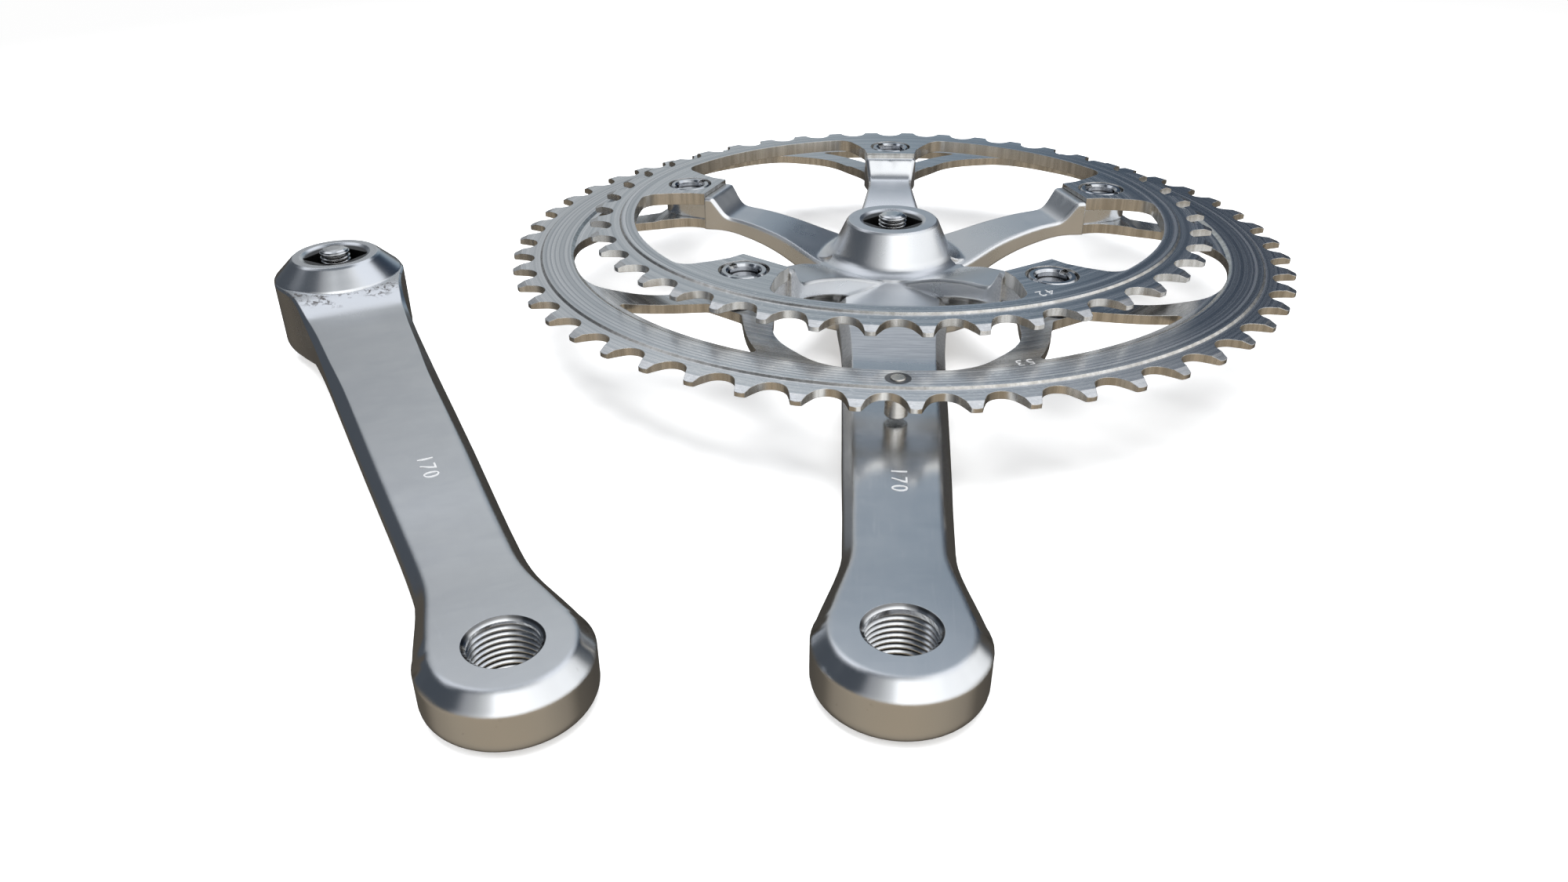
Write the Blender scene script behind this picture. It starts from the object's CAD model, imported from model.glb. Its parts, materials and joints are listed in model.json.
"""Road bicycle crankset: two polished arms, two chainrings, their bolts and a pin.

The pieces come from the CAD frame in metres, +Z up. The right spindle axis is the Z axis, with
the right arm along -Y. The left arm stands on its own axis and may be turned about it.
This script adds materials, stamped figures, a floor, a studio world, lights and a camera.
"""
import json
import math

import bmesh
import bpy
from mathutils import Matrix, Vector


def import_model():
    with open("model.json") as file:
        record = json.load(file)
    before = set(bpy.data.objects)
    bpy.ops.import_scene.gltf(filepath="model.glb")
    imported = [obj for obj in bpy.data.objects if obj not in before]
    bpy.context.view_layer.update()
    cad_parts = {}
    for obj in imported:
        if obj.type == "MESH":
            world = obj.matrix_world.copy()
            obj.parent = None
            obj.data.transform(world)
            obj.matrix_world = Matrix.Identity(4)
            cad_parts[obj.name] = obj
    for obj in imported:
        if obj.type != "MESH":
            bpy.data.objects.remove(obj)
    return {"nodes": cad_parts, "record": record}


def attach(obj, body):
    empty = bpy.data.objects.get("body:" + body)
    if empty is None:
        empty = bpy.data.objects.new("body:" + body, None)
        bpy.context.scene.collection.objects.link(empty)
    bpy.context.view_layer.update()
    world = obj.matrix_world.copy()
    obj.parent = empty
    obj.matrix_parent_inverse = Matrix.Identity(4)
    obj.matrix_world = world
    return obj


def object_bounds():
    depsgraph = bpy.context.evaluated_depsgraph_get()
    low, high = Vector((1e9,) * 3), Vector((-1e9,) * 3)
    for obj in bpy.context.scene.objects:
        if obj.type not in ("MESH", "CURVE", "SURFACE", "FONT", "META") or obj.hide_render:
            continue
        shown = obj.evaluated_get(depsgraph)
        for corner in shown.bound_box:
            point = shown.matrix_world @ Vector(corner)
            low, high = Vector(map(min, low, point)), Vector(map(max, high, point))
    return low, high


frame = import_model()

CAD_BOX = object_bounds()
NODES = frame["nodes"]
SLOT = {part["node"]: part["material_slot"] for part in frame["record"]["subparts"]}
MOUNT = {mount["name"]: mount["pos_m"] for mount in frame["record"]["mounts"]}

ARM_LENGTH = 0.170      # spindle axis to pedal axis
RIGHT_XY = (0.0, 0.0)
LEFT_XY = Vector(MOUNT["left_spindle_taper"][:2])
LEFT_DIR = (Vector(MOUNT["left_pedal_thread"][:2]) - LEFT_XY).normalized()
LEFT_TURN = math.atan2(LEFT_DIR.x, -LEFT_DIR.y)     # 0 means the arm along -Y


# ---------------------------------------------------------------- shader building
class Value:
    """A node output; arithmetic on it adds Math nodes and methods add the other nodes."""

    def __init__(self, graph, socket):
        self.graph = graph
        self.socket = socket

    def __getitem__(self, output):
        """Another output of the same node."""
        return Value(self.graph, self.socket.node.outputs[output])

    def __add__(self, other):
        return self.math("ADD", other)

    def __radd__(self, other):
        return self.graph.math("ADD", other, self)

    def __sub__(self, other):
        return self.math("SUBTRACT", other)

    def __rsub__(self, other):
        return self.graph.math("SUBTRACT", other, self)

    def __mul__(self, other):
        return self.math("MULTIPLY", other)

    def math(self, operation, *others):
        return self.graph.math(operation, self, *others)

    def vector_math(self, operation, *others, output=0):
        operands = (self, *others)
        return self.graph.add("VectorMath", operands, output=output, operation=operation)

    def xyz(self):
        parts = self.graph.add("SeparateXYZ", [self])
        return parts[0], parts[1], parts[2]

    def noise(self, scale, detail=2.0, rough=0.5, warp=0.0):
        return self.graph.add("TexNoise", {
            "Vector": self, "Scale": scale, "Detail": detail,
            "Roughness": rough, "Distortion": warp})

    def ramp(self, stops):
        """Colour ramp through (position, grey or colour) stops."""
        result = self.graph.add("ValToRGB", [self])
        elements = result.socket.node.color_ramp.elements
        elements.remove(elements[-1])
        for i, (position, colour) in enumerate(stops):
            element = elements[0] if i == 0 else elements.new(position)
            element.position = position
            if isinstance(colour, float):
                colour = (colour, colour, colour)
            element.color = (*colour, 1)
        return result

    def threshold(self, start, end):
        """Grey ramp: 0 up to start, 1 beyond end."""
        return self.ramp([(0.0, 0.0), (start, 0.0), (end, 1.0)])

    def rise(self, start, end, low=0.0, high=1.0, smooth=True):
        """low before start, high after end."""
        return self.graph.add("MapRange", [self, start, end, low, high],
                              interpolation_type="SMOOTHSTEP" if smooth else "LINEAR")

    def fall(self, start, end, high=1.0, low=0.0):
        """high before start, low after end."""
        return self.rise(start, end, high, low)

    def band(self, rise_start, rise_end, fall_start, fall_end):
        """1 between a soft start and a soft end."""
        return self.rise(rise_start, rise_end) * self.fall(fall_start, fall_end)

    def mix(self, low, high):
        """low where this value is 0, high where it is 1."""
        return self.graph.mix(self, low, high)

    def tint(self, base, colour, amount):
        """base, moved towards colour by amount where this value is 1."""
        return (self * amount).mix(base, colour)


class Graph:
    """Writes one node tree."""

    def __init__(self, tree):
        self.tree = tree
        tree.nodes.clear()

    def put(self, socket, value):
        if isinstance(value, Value):
            self.tree.links.new(value.socket, socket)
        elif isinstance(value, tuple) and socket.type == "RGBA":
            socket.default_value = (*value, 1.0)
        elif socket.type == "RGBA":
            socket.default_value = (value, value, value, 1.0)
        else:
            socket.default_value = value

    def add(self, kind, inputs=(), output=0, **settings):
        """Add a node; inputs is a list in socket order, or a dict by socket name or index."""
        node = self.tree.nodes.new("ShaderNode" + kind)
        for key, setting in settings.items():
            setattr(node, key, setting)
        for key, value in inputs.items() if isinstance(inputs, dict) else enumerate(inputs):
            if value is not None:
                self.put(node.inputs[key], value)
        return Value(self, node.outputs[output]) if node.outputs else None

    def math(self, operation, *operands, clamp=False):
        return self.add("Math", operands, operation=operation, use_clamp=clamp)

    def vector(self, x, y, z):
        return self.add("CombineXYZ", [x, y, z])

    def mix(self, factor, low, high, blend="MIX"):
        # sockets 0, 6 and 7 are the factor and the two colours; output 2 is the colour
        return self.add("Mix", {0: factor, 6: low, 7: high}, output=2,
                        data_type="RGBA", blend_type=blend)

    def position(self):
        return self.add("TexCoord", output="Object")

    def normal_z(self):
        return self.add("NewGeometry", output="True Normal").xyz()[2]

    def bevel(self, radius, samples=4):
        return self.add("Bevel", {"Radius": radius}, samples=samples)

    def bump(self, height, strength, distance, normal=None):
        return self.add("Bump", {"Strength": strength, "Distance": distance,
                                 "Height": height, "Normal": normal})

    def edge_wear(self, rounded, start=0.002, end=0.06):
        """1 along edges, where the rounded normal leaves the plain one."""
        plain = self.add("NewGeometry", output="Normal")
        return (1.0 - rounded.vector_math("DOT_PRODUCT", plain, output="Value")).rise(start, end)

    def grime(self, reach, samples=4):
        """1 deep in corners."""
        open_air = self.add("AmbientOcclusion", {"Distance": reach}, output="AO", samples=samples)
        return self.math("SUBTRACT", 1.0, open_air, clamp=True)

    def principled(self, base, rough, metallic=1.0, normal=None, **more):
        return self.add("BsdfPrincipled", {"Base Color": base, "Metallic": metallic,
                                           "Roughness": rough, "Normal": normal, **more})

    def emission(self, colour, strength=1.0):
        return self.add("Emission", [colour, strength])

    def finish(self, shader, kind="OutputMaterial"):
        self.add(kind, {"Surface": shader})


def new_material(name):
    material = bpy.data.materials.new(name)
    material.use_nodes = True
    return material, Graph(material.node_tree)


def hypot(first, second):
    return (first * first + second * second).math("SQRT")


def scaled(colour, factor):
    return tuple(min(1.0, channel * factor) for channel in colour)


# ---------------------------------------------------------------- polished arms
def casting_pits(local, along, from_spindle):
    """Patchy casting pits just outside the boss rim, on the arm's side of it."""
    rim = from_spindle.band(0.0168, 0.0182, 0.0205, 0.0240)
    side = along.rise(0.004, 0.010)
    pit = local.noise(760, detail=4, rough=0.65, warp=0.7).threshold(0.50, 0.58)
    patch = local.noise(120).threshold(0.47, 0.56)
    return rim * side * pit * patch


def polished_arm(name, centre, turn, pitted, boss_top):
    """Polished forged aluminium: soft waviness, hairline scratches, oxide bloom, dark corners."""
    material, graph = new_material(name)
    # arm coordinates: across it, and along it from the spindle axis
    x, y, z = graph.position().xyz()
    east = x - centre[0]
    north = y - centre[1]
    cosine, sine = math.cos(turn), math.sin(turn)
    across = east * cosine + north * sine
    along = east * sine - north * cosine
    local = graph.vector(across, along, z)
    from_spindle = hypot(across, along)
    from_pedal = hypot(across, along - ARM_LENGTH)

    # textures
    scratches = graph.vector(across * 1.0, along * 0.035, z).noise(2600, detail=3, rough=0.7)
    wave = local.noise(42, rough=0.45)
    cloud = local.noise(85, detail=5, rough=0.62, warp=0.4)
    speck = local.noise(700).threshold(0.74, 0.82)
    mottle = graph.vector(across * 0.35, along, z * 0.3).noise(
        150, detail=4, rough=0.6, warp=0.3)

    # hand polishing rolls over the outer edges; the bores and the boss keep crisp ones
    off_bore = from_pedal.rise(0.0090, 0.0105)
    rolled = off_bore * along.rise(0.060, 0.110)
    if not pitted:
        spider = from_spindle.rise(0.0150, 0.0170) * from_spindle.fall(0.0300, 0.0460, low=0.35)
        rolled = rolled + spider * along.fall(0.030, 0.060, high=0.55)
    rounded = graph.bevel(0.00022 + (off_bore * 0.00025 + rolled * 0.00105), samples=6)
    wear = graph.edge_wear(rounded, start=0.01, end=0.12)
    dirt = graph.grime(reach=0.006)

    # base metal
    base = cloud.mix((0.80, 0.825, 0.855), (0.885, 0.895, 0.905))
    base = speck.tint(base, (0.34, 0.33, 0.32), amount=0.22)
    base = dirt.rise(0.50, 1.0).tint(base, (0.30, 0.29, 0.275), amount=0.30)
    base = wear.tint(base, (0.95, 0.955, 0.96), amount=0.3)
    flat = graph.normal_z().rise(0.975, 0.995)
    base = (flat * (mottle.rise(0.35, 0.7) * 0.20)).mix(base, (0.66, 0.69, 0.73))
    rough = 0.085 + flat * 0.075 + cloud * 0.09
    rough = rough + scratches.rise(0.50, 0.78) * 0.04
    height = wave * 0.8 + scratches * 0.0025

    # the spider and boss are tumbled, not buffed
    if pitted:
        satin = from_spindle.fall(0.0180, 0.0400, high=0.45)
    else:
        satin = from_spindle.fall(0.0600, 0.0740)
    rough = rough + satin * 0.15

    if pitted:
        pits = casting_pits(local, along, from_spindle)
        base = pits.tint(base, (0.22, 0.20, 0.19), amount=0.85)
        rough = rough + pits * 0.4
        height = height - pits * 0.10
    else:
        # a brushed stretch with lines across the arm
        cross = graph.vector(across * 0.06, along * 1.0, z).noise(1700, detail=3, rough=0.7)
        lines = cross.ramp([(0.0, 0.0), (0.40, 0.2), (0.60, 0.85), (1.0, 1.0)])
        brushed = along.fall(0.066, 0.072) * along.rise(0.045, 0.050)
        line_colour = lines.mix((0.50, 0.52, 0.55), (0.93, 0.94, 0.95))
        base = brushed.tint(base, line_colour, amount=0.62)
        rough = rough + brushed * 0.16
        height = height + brushed * cross * 0.05

    # cutting oil and dust between the pedal thread's crests
    thread = from_pedal.band(0.00658, 0.00702, 0.00722, 0.00740)
    thread = thread * z.math("ABSOLUTE").rise(0.0002, 0.0004)
    base = thread.tint(base, (0.06, 0.058, 0.055), amount=0.80)

    # the square socket keeps its dark, greased, unpolished walls
    socket = from_spindle.fall(0.0092, 0.0094) * z.fall(boss_top - 0.0008, boss_top - 0.0003)
    base = socket.mix(base, cloud.mix((0.012, 0.012, 0.013), (0.05, 0.048, 0.046)))
    rough = rough + socket * 0.22

    normal = graph.bump(height, strength=0.30, distance=0.0006, normal=rounded)
    graph.finish(graph.principled(base, rough, normal=normal))
    return material


# ---------------------------------------------------------------- chainrings
PIN_REACH = 0.097       # the pin stands at (0, -PIN_REACH)


def turned_ring(name, step_radius, turned_radius, pitch, seed, haze_amount):
    """Anodised plate: concentric lathe lines on the flats, plain blanked edges.

    The fine grooves run from turned_radius out to the shoulder at step_radius.
    """
    material, graph = new_material(name)
    position = graph.position()
    x, y, z = position.xyz()
    radius = hypot(x, y)
    angle = y.math("ARCTAN2", x)
    unit_x = angle.math("COSINE")
    unit_y = angle.math("SINE")
    turned_edge = (turned_radius, turned_radius + 0.0015)
    near = unit_y.fall(-0.97, -0.72)        # the -Y side, towards the crank arm

    # lines round the ring
    shifted = radius + seed
    broad = graph.vector(unit_x * 0.00010, unit_y * 0.00010, shifted).noise(
        620, detail=3, rough=0.65)
    fine = graph.vector(unit_x * 0.00030, unit_y * 0.00030, shifted).noise(2300, rough=0.6)
    sparkle = graph.vector(angle * 0.055, radius * 1.0, seed).noise(1300, rough=0.6, warp=0.5)
    cloud = position.noise(60, detail=4, rough=0.6)
    flat = graph.normal_z().math("ABSOLUTE").rise(0.90, 0.98)
    rounded = graph.bevel(0.00022)
    wear = graph.edge_wear(rounded)
    dirt = graph.grime(reach=0.004)
    streaks = broad.ramp([(0.0, 0.0), (0.36, 0.05), (0.5, 0.55), (0.64, 0.95), (1.0, 1.0)])
    base = streaks.mix((0.60, 0.635, 0.67), (0.97, 0.975, 0.98))
    base = fine.rise(0.45, 0.68).tint(base, (0.50, 0.53, 0.57), amount=0.35)

    # regular grooves, wandering a little with the angle
    wander = radius + graph.vector(unit_x, unit_y, seed).noise(1.2) * 0.0009
    groove = (wander * (math.tau / pitch)).math("SINE")
    turned = radius.band(*turned_edge, step_radius - 0.0010, step_radius - 0.0004)
    cut = groove.rise(0.15, 0.95) * turned * broad.rise(0.25, 0.55, low=0.35)
    base = (cut * (0.62 + near * 0.26)).mix(base, (0.37, 0.40, 0.44))

    # shadow in the shoulder, on the -X +Y side
    shoulder = radius.band(step_radius - 0.00075, step_radius - 0.00045,
                           step_radius - 0.00010, step_radius + 0.00015)
    shaded = (unit_x * -0.8 + unit_y * 0.6).rise(0.1, 0.8, high=0.55)
    base = (shoulder * shaded).mix(base, (0.22, 0.24, 0.27))

    # glints between the grooves
    glint = sparkle.rise(0.54, 0.66) * near * radius.rise(*turned_edge)
    glint = glint * (1.0 - cut * 0.85)
    base = glint.tint(base, (1.0, 1.0, 1.0), amount=0.75)
    base = cloud.tint(base, (0.62, 0.66, 0.71), amount=0.16)

    # blanked edges, corners and worn edges
    blanking = graph.vector(x, y, z * 0.05).noise(520, detail=3, rough=0.65)
    side = blanking.rise(0.3, 0.7).mix((0.58, 0.56, 0.52), (0.86, 0.84, 0.80))
    base = flat.mix(side, base)
    base = dirt.rise(0.55, 1.0).tint(base, (0.24, 0.21, 0.18), amount=0.35)
    base = wear.tint(base, (0.96, 0.96, 0.96), amount=0.12)

    # dark seam round the pin
    from_pin = (x * x + (y + PIN_REACH).math("POWER", 2.0)).math("SQRT")
    seam = from_pin.fall(0.00285, 0.0031) * flat
    base = seam.tint(base, (0.05, 0.05, 0.055), amount=0.85)

    rough = flat.mix(0.26, 0.21 + broad.rise(0.35, 0.7) * 0.09)
    height = (broad * 1.0 + fine * 0.35) * flat
    # the turned band towards the crank arm scatters the light from overhead
    haze = unit_y.fall(-0.97, -0.62) * flat * radius.rise(*turned_edge, low=0.35)
    graph.finish(graph.principled(
        base, rough,
        metallic=1.0 - haze * haze_amount,
        normal=graph.bump(height, strength=0.12, distance=0.00010, normal=rounded),
        Anisotropic=flat * 0.70,
        Tangent=graph.add("Tangent", direction_type="RADIAL", axis="Z")))
    return material


# ---------------------------------------------------------------- steel parts
def plated(name, light, dark, rough, rough_spread, bevel, scale, dirt_amount,
           reach=0.003, axis=None):
    """Plated or machined steel: small stains, faint tool marks, dirt in the recesses.

    axis is the place of a bolt that holds oil between its thread crests.
    """
    material, graph = new_material(name)
    position = graph.position()
    rounded = graph.bevel(bevel)
    wear = graph.edge_wear(rounded)
    cloud = position.noise(scale, detail=5, rough=0.6, warp=0.3)
    mark = position.noise(scale * 6, rough=0.6)
    dirt = graph.grime(reach, samples=8)
    base = cloud.mix(dark, light)
    if axis is not None:
        x, y, _ = position.xyz()
        from_axis = hypot(x - axis[0], y - axis[1])
        steep = graph.normal_z().math("ABSOLUTE").fall(0.80, 0.90)
        oil = from_axis.fall(0.00352, 0.00388) * steep
        base = oil.tint(base, (0.03, 0.03, 0.032), amount=0.93)
    base = mark.rise(0.60, 0.74).tint(base, scaled(dark, 0.5), amount=0.22)
    base = dirt.rise(0.35, 0.9).tint(base, (0.03, 0.028, 0.026), dirt_amount)
    base = wear.tint(base, scaled(light, 1.1), amount=0.4)
    normal = graph.bump(cloud + mark * 0.3, strength=0.16, distance=0.00015, normal=rounded)
    graph.finish(graph.principled(base, rough + cloud * rough_spread, normal=normal))
    return material


def pin_steel():
    """Turned steel pin: rings of tool marks round its axis, warm plating."""
    material, graph = new_material("Pin_turned_steel")
    position = graph.position()
    x, y, z = position.xyz()
    rounded = graph.bevel(0.0002)
    lines = graph.vector(x * 0.05, y * 0.05, z).noise(4200, rough=0.6)
    cloud = position.noise(300, detail=4, rough=0.6)
    base = lines.mix((0.60, 0.56, 0.50), (0.86, 0.84, 0.80))
    base = cloud.tint(base, (0.45, 0.41, 0.36), amount=0.3)
    base = graph.edge_wear(rounded).tint(base, (0.95, 0.94, 0.92), amount=0.4)
    normal = graph.bump(lines, strength=0.15, distance=0.0001, normal=rounded)
    graph.finish(graph.principled(base, 0.18 + cloud * 0.16, normal=normal))
    return material


def stamp_metal():
    """The rolled faces of the stamped figures."""
    material, graph = new_material("Stamp_bright")
    colour = (0.97, 0.97, 0.97)
    grain = graph.position().noise(900, detail=3, rough=0.6)
    graph.finish(graph.principled(
        grain.mix(scaled(colour, 0.82), colour),
        0.30 + grain * 0.12,
        metallic=0.6,
        normal=graph.bump(grain, strength=0.2, distance=0.00008)))
    return material


# ---------------------------------------------------------------- assigning materials
BOLT_LOOK = dict(light=(0.97, 0.972, 0.975), dark=(0.80, 0.81, 0.82), rough=0.10,
                 rough_spread=0.12, bevel=0.00012, scale=300, dirt_amount=0.3)

# keyed by node name, or by material slot for the remaining nodes
MATERIALS = {
    "right_crank_arm": polished_arm(
        "Arm_polished_right", centre=RIGHT_XY, turn=0.0, pitted=False,
        boss_top=MOUNT["right_spindle_taper"][2]),
    "left_crank_arm": polished_arm(
        "Arm_polished_left", centre=tuple(LEFT_XY), turn=LEFT_TURN, pitted=True,
        boss_top=MOUNT["left_spindle_taper"][2]),
    "outer_chainring": turned_ring(
        "Ring_turned_outer", step_radius=0.1016, turned_radius=0.0925, pitch=0.00125,
        seed=0.31, haze_amount=0.15),
    "inner_chainring": turned_ring(
        "Ring_turned_inner", step_radius=0.0787, turned_radius=0.0745, pitch=0.00110,
        seed=0.87, haze_amount=0.03),
    "bright_plated_steel": plated(
        "Bright_plated_steel", light=(0.84, 0.86, 0.89), dark=(0.50, 0.52, 0.56), rough=0.050,
        rough_spread=0.08, bevel=0.00016, scale=240, dirt_amount=0.95, reach=0.0042),
    "inner_bolt_steel": plated(
        "Inner_bolt_steel", light=(0.62, 0.63, 0.65), dark=(0.34, 0.35, 0.37), rough=0.16,
        rough_spread=0.16, bevel=0.00016, scale=320, dirt_amount=0.9, reach=0.005),
    "cap_plated_steel": plated(
        "Cap_plated_steel", light=(0.84, 0.85, 0.86), dark=(0.58, 0.59, 0.60), rough=0.12,
        rough_spread=0.14, bevel=0.0002, scale=160, dirt_amount=0.7),
    "zinc_steel": plated(
        "Zinc_steel", light=(0.74, 0.735, 0.70), dark=(0.56, 0.55, 0.52), rough=0.28,
        rough_spread=0.18, bevel=0.00015, scale=260, dirt_amount=0.5),
    "pin_steel": pin_steel(),
    "right_crank_bolt": plated("Oiled_bolt_steel_right", axis=RIGHT_XY, **BOLT_LOOK),
    "left_crank_bolt": plated("Oiled_bolt_steel_left", axis=tuple(LEFT_XY), **BOLT_LOOK),
}
for k in range(1, 6):
    MATERIALS[f"chainring_bolt_{k}"] = MATERIALS["inner_bolt_steel"]

for node_name, part in NODES.items():
    part_material = MATERIALS.get(node_name) or MATERIALS[SLOT[node_name]]
    if not part.material_slots:
        part.data.materials.append(part_material)
    for material_slot in part.material_slots:
        material_slot.material = part_material


# ---------------------------------------------------------------- stamped figures
def text_mesh(name, text, size, thickness, outline):
    curve = bpy.data.curves.new(name, "FONT")
    curve.body = text
    curve.size = size
    curve.extrude = thickness
    curve.offset = outline
    curve.align_x = "CENTER"
    curve.align_y = "CENTER"
    curve.resolution_u = 3
    curve.space_character = 1.25
    holder = bpy.data.objects.new(name + "_t", curve)
    bpy.context.scene.collection.objects.link(holder)
    bpy.context.view_layer.update()
    mesh = bpy.data.meshes.new_from_object(holder)
    bpy.data.objects.remove(holder)
    return mesh


def figure(name, text, node, body, x, y, turn, slot, size, thickness, outline):
    """Figures standing a hair proud of a node's upper face at (x, y), laid on its slope."""
    mesh = text_mesh(name, text, size, thickness, outline)
    hit, place, normal, _ = NODES[node].ray_cast(Vector((x, y, 1.0)), Vector((0, 0, -1)))
    if not hit:
        raise RuntimeError(f"no {node} surface at {x}, {y}")
    normal = normal.normalized()
    reading = Vector((math.cos(turn), math.sin(turn), 0))
    reading = (reading - normal * reading.dot(normal)).normalized()
    pose = Matrix((reading, normal.cross(reading), normal)).transposed().to_4x4()
    pose.translation = place + normal * (thickness * 0.35)
    mesh.transform(pose)
    obj = bpy.data.objects.new(name, mesh)
    bpy.context.scene.collection.objects.link(obj)
    mesh.materials.clear()
    mesh.materials.append(STAMP)
    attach(obj, body)


bpy.context.view_layer.update()
STAMP = stamp_metal()
ARM_STAMP = dict(slot="polished_alloy", size=0.0050, thickness=0.00007, outline=-0.00004)
RING_STAMP = dict(slot="anodised_alloy", size=0.0042, thickness=0.00004, outline=-0.00002)
LENGTH_TEXT = f"{ARM_LENGTH * 1000:.0f}"
# distance along the left arm, then a small step sideways
LEFT_STAMP = LEFT_XY + LEFT_DIR * 0.108 + Vector((-LEFT_DIR.y, LEFT_DIR.x)) * 0.0006

figure("right_arm_length_number", LENGTH_TEXT, "right_crank_arm", "right_crank",
       x=0.0002, y=-0.1215, turn=-math.pi / 2, **ARM_STAMP)
figure("left_arm_length_number", LENGTH_TEXT, "left_crank_arm", "left_crank",
       x=LEFT_STAMP.x, y=LEFT_STAMP.y, turn=math.atan2(LEFT_DIR.y, LEFT_DIR.x), **ARM_STAMP)
figure("inner_ring_tooth_number", "42", "inner_chainring", "right_crank",
       x=0.0350, y=-0.0642, turn=math.radians(-61.4 - 90), **RING_STAMP)
figure("outer_ring_tooth_number", "53", "outer_chainring", "right_crank",
       x=0.0287, y=-0.0859, turn=math.radians(-71.5 - 90), **RING_STAMP)


# ---------------------------------------------------------------- floor
BACKDROP = (0.985, 0.985, 0.985)
FLOOR_HALF = 6.0
FLOOR_GAP = 0.0002      # below the lowest CAD point


def floor_material():
    material, graph = new_material("Floor_pale")
    path = graph.add("LightPath")
    geometry = graph.add("NewGeometry")
    to_camera = path["Is Camera Ray"]
    pale = graph.principled((0.93, 0.93, 0.93), 0.9, metallic=0.0)
    lifted = graph.add("AddShader", [pale, graph.emission((1, 1, 1), strength=0.34)])
    # far from the object the floor runs out into the plain backdrop
    away = geometry["Position"].vector_math("LENGTH", output="Value")
    faded = graph.add("MixShader", [
        away.rise(0.28, 0.75) * to_camera, lifted, graph.emission(BACKDROP)])
    # the bright metal sees warmer, darker surroundings below it
    incoming_y = geometry["Incoming"].xyz()[1]
    warm = incoming_y.rise(-0.9, 0.9, smooth=False).ramp([
        (0.0, (0.055, 0.050, 0.044)), (0.35, (0.11, 0.095, 0.076)),
        (0.50, (0.24, 0.205, 0.160)), (0.75, (0.33, 0.280, 0.212)),
        (1.0, (0.37, 0.305, 0.222))])
    seen = graph.add("MixShader", [path["Is Glossy Ray"], faded, graph.emission(warm)])
    # a camera below the floor looks through it
    graph.finish(graph.add("MixShader", [
        geometry["Backfacing"] * to_camera, seen, graph.add("BsdfTransparent")]))
    return material


def floor():
    mesh = bpy.data.meshes.new("Floor")
    sheet = bmesh.new()
    z = CAD_BOX[0][2] - FLOOR_GAP
    corners = ((-1, -1), (1, -1), (1, 1), (-1, 1))
    sheet.faces.new([sheet.verts.new((x * FLOOR_HALF, y * FLOOR_HALF, z)) for x, y in corners])
    sheet.to_mesh(mesh)
    sheet.free()
    obj = bpy.data.objects.new("Floor", mesh)
    bpy.context.scene.collection.objects.link(obj)
    mesh.materials.append(floor_material())


floor()


# ---------------------------------------------------------------- world
CEILING = (0.17, 0.19, 0.215)

# colours round the room from left (0, -X) to right (1, +X)
# far side, +Y: soft panel on the left, slate dark on the right, a window beyond that
FAR_SIDE = [
    (0.00, (0.065, 0.075, 0.090)), (0.10, (0.075, 0.085, 0.100)), (0.18, (0.20, 0.215, 0.235)),
    (0.25, (0.33, 0.345, 0.36)), (0.30, (0.375, 0.390, 0.405)), (0.38, (0.47, 0.49, 0.50)),
    (0.46, (0.42, 0.455, 0.475)), (0.52, (0.27, 0.325, 0.375)), (0.56, (0.225, 0.285, 0.345)),
    (0.605, (0.055, 0.078, 0.110)), (0.68, (0.018, 0.030, 0.052)), (0.79, (0.030, 0.040, 0.058)),
    (0.88, (0.16, 0.17, 0.18)), (0.93, (0.80, 0.81, 0.82)), (1.0, (1.05, 1.06, 1.07))]
# near side, -Y: darker room on the left, a large bright window from the middle to the right
NEAR_SIDE = [
    (0.0, (0.060, 0.070, 0.085)), (0.09, (0.075, 0.085, 0.100)), (0.15, (0.30, 0.31, 0.33)),
    (0.25, (0.44, 0.45, 0.46)), (0.38, (0.72, 0.73, 0.74)), (0.48, (1.32, 1.33, 1.34)),
    (0.75, (1.32, 1.33, 1.34)), (1.0, (1.05, 1.06, 1.07))]


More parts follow.
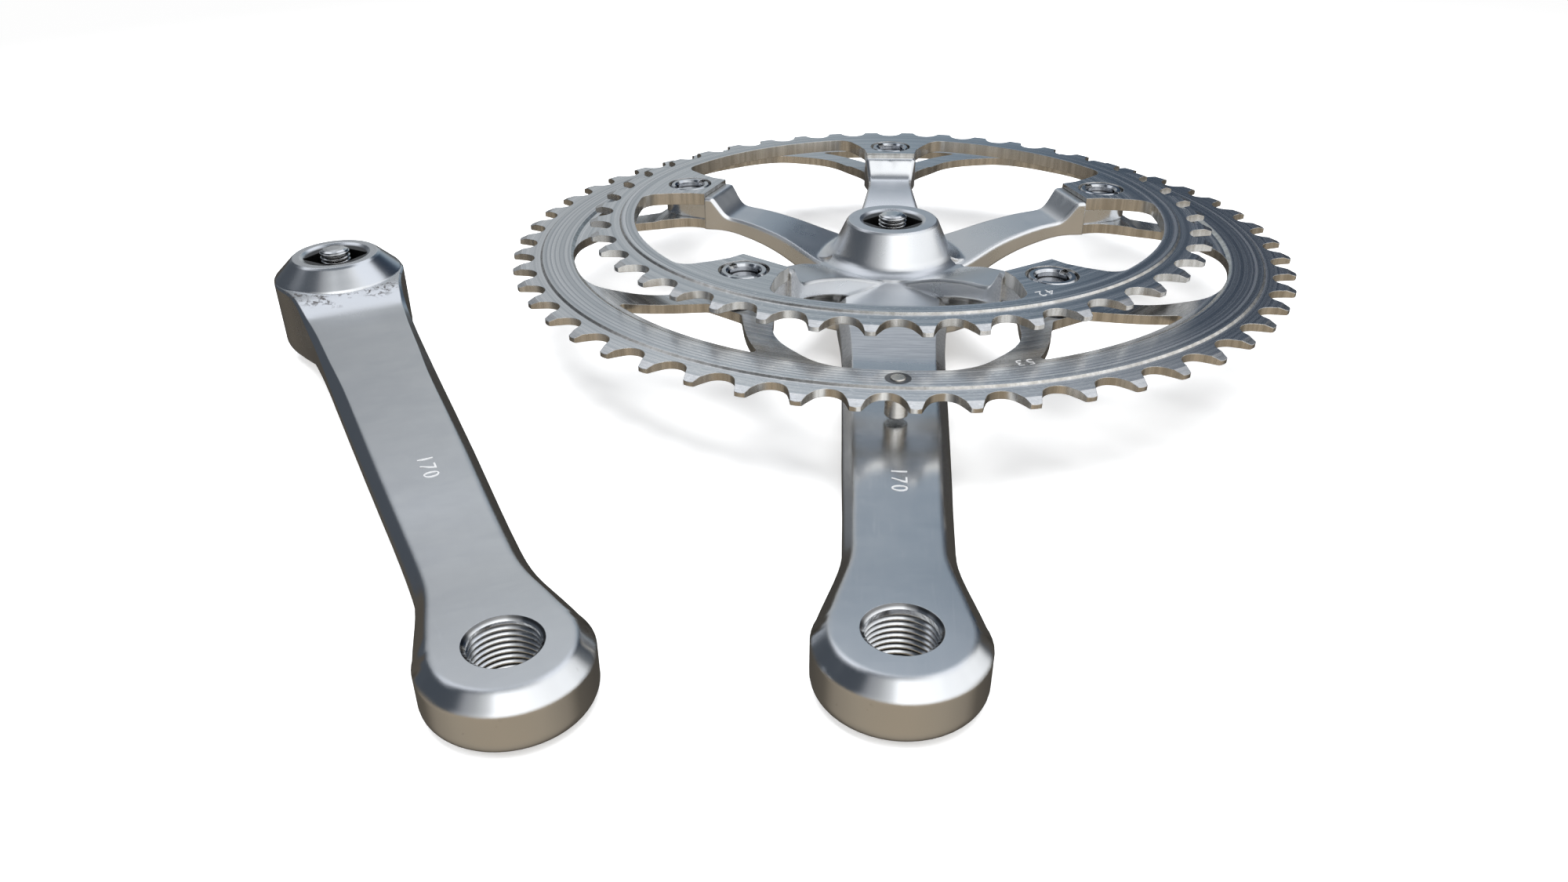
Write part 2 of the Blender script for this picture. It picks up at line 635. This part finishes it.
def world():
    """The room that the metal mirrors; the camera itself sees the plain backdrop."""
    studio = bpy.data.worlds.new("Studio")
    bpy.context.scene.world = studio
    studio.use_nodes = True
    graph = Graph(studio.node_tree)
    direction = graph.add("TexCoord", output="Generated").vector_math("NORMALIZE")
    x, y, z = direction.xyz()
    sideways = x.math("DIVIDE", hypot(x, y).math("MAXIMUM", 0.02))

    near = sideways.rise(-1.0, 1.0, smooth=False).ramp(NEAR_SIDE)
    near = z.rise(0.91, 0.985).mix(near, CEILING)

    far = sideways.rise(-1.0, 1.0, smooth=False).ramp(FAR_SIDE)
    # a darker patch left of the middle, then a pale one higher on the left
    patch = z.rise(0.44, 0.52) * sideways.band(-0.28, -0.16, 0.0, 0.10)
    far = patch.tint(far, (0.23, 0.275, 0.325), amount=0.8)
    pale = z.rise(0.50, 0.80, smooth=False) * sideways.fall(-0.40, -0.22, high=0.45)
    far = pale.mix(far, (0.80, 0.82, 0.86))
    # a bright strip above, up to the darker ceiling
    far = z.rise(0.625, 0.72).mix(far, (0.86, 0.895, 0.96))
    far = z.rise(0.90, 0.975).mix(far, CEILING)

    room = y.rise(-0.12, 0.12).mix(near, far)
    room = z.rise(-0.03, 0.09).mix((0.060, 0.065, 0.075), room)
    streak = graph.vector(x * 1.6, y * 0.6, z * 3.0).noise(2.2)
    shading = streak.mix((0.45, 0.45, 0.45), (1.45, 1.45, 1.45))
    sky = graph.mix(0.30, room, shading, blend="MULTIPLY")
    colour = graph.add("LightPath", output="Is Camera Ray").mix(sky, BACKDROP)
    graph.finish(graph.add("Background", [colour, 1.0]), kind="OutputWorld")


world()


# ---------------------------------------------------------------- lights and camera
def soft_light(name, place, aim, size, power, colour=(1, 1, 1)):
    data = bpy.data.lights.new(name, "AREA")
    data.shape = "RECTANGLE"
    data.size, data.size_y = size
    data.energy = power
    data.color = colour
    lamp = bpy.data.objects.new(name, data)
    lamp.location = place
    lamp.rotation_euler = (Vector(aim) - Vector(place)).to_track_quat("-Z", "Y").to_euler()
    bpy.context.scene.collection.objects.link(lamp)
    lamp.visible_glossy = False     # the metal mirrors the room, not the lamps


soft_light("Ceiling_panel", place=(-0.10, -0.15, 1.25), aim=(-0.03, -0.05, 0.0),
           size=(1.1, 0.8), power=17.0)
soft_light("Window_left", place=(-1.15, -0.45, 0.75), aim=(-0.05, -0.05, 0.0),
           size=(0.5, 0.7), power=6.0, colour=(0.96, 0.98, 1.0))


def camera():
    forward = Vector((-0.08900267, 0.84989724, -0.5193777)).normalized()
    roll = math.radians(-1.101)
    level = forward.cross(Vector((0, 0, 1))).normalized()
    upright = level.cross(forward)
    right = level * math.cos(roll) + upright * math.sin(roll)
    up = -level * math.sin(roll) + upright * math.cos(roll)
    data = bpy.data.cameras.new("Camera")
    data.sensor_fit = "HORIZONTAL"
    data.sensor_width = 36.0        # mm, like the lens
    data.lens = 26.433612
    data.shift_x = 0.024807
    data.shift_y = 0.02975
    data.clip_start = 0.005
    data.clip_end = 50
    obj = bpy.data.objects.new("Camera", data)
    pose = Matrix((right, up, -forward)).transposed().to_4x4()
    pose.translation = Vector((-0.010128, -0.328105, 0.136887))
    obj.matrix_world = pose
    bpy.context.scene.collection.objects.link(obj)
    bpy.context.scene.camera = obj


camera()
bpy.context.scene.view_settings.view_transform = "Standard"
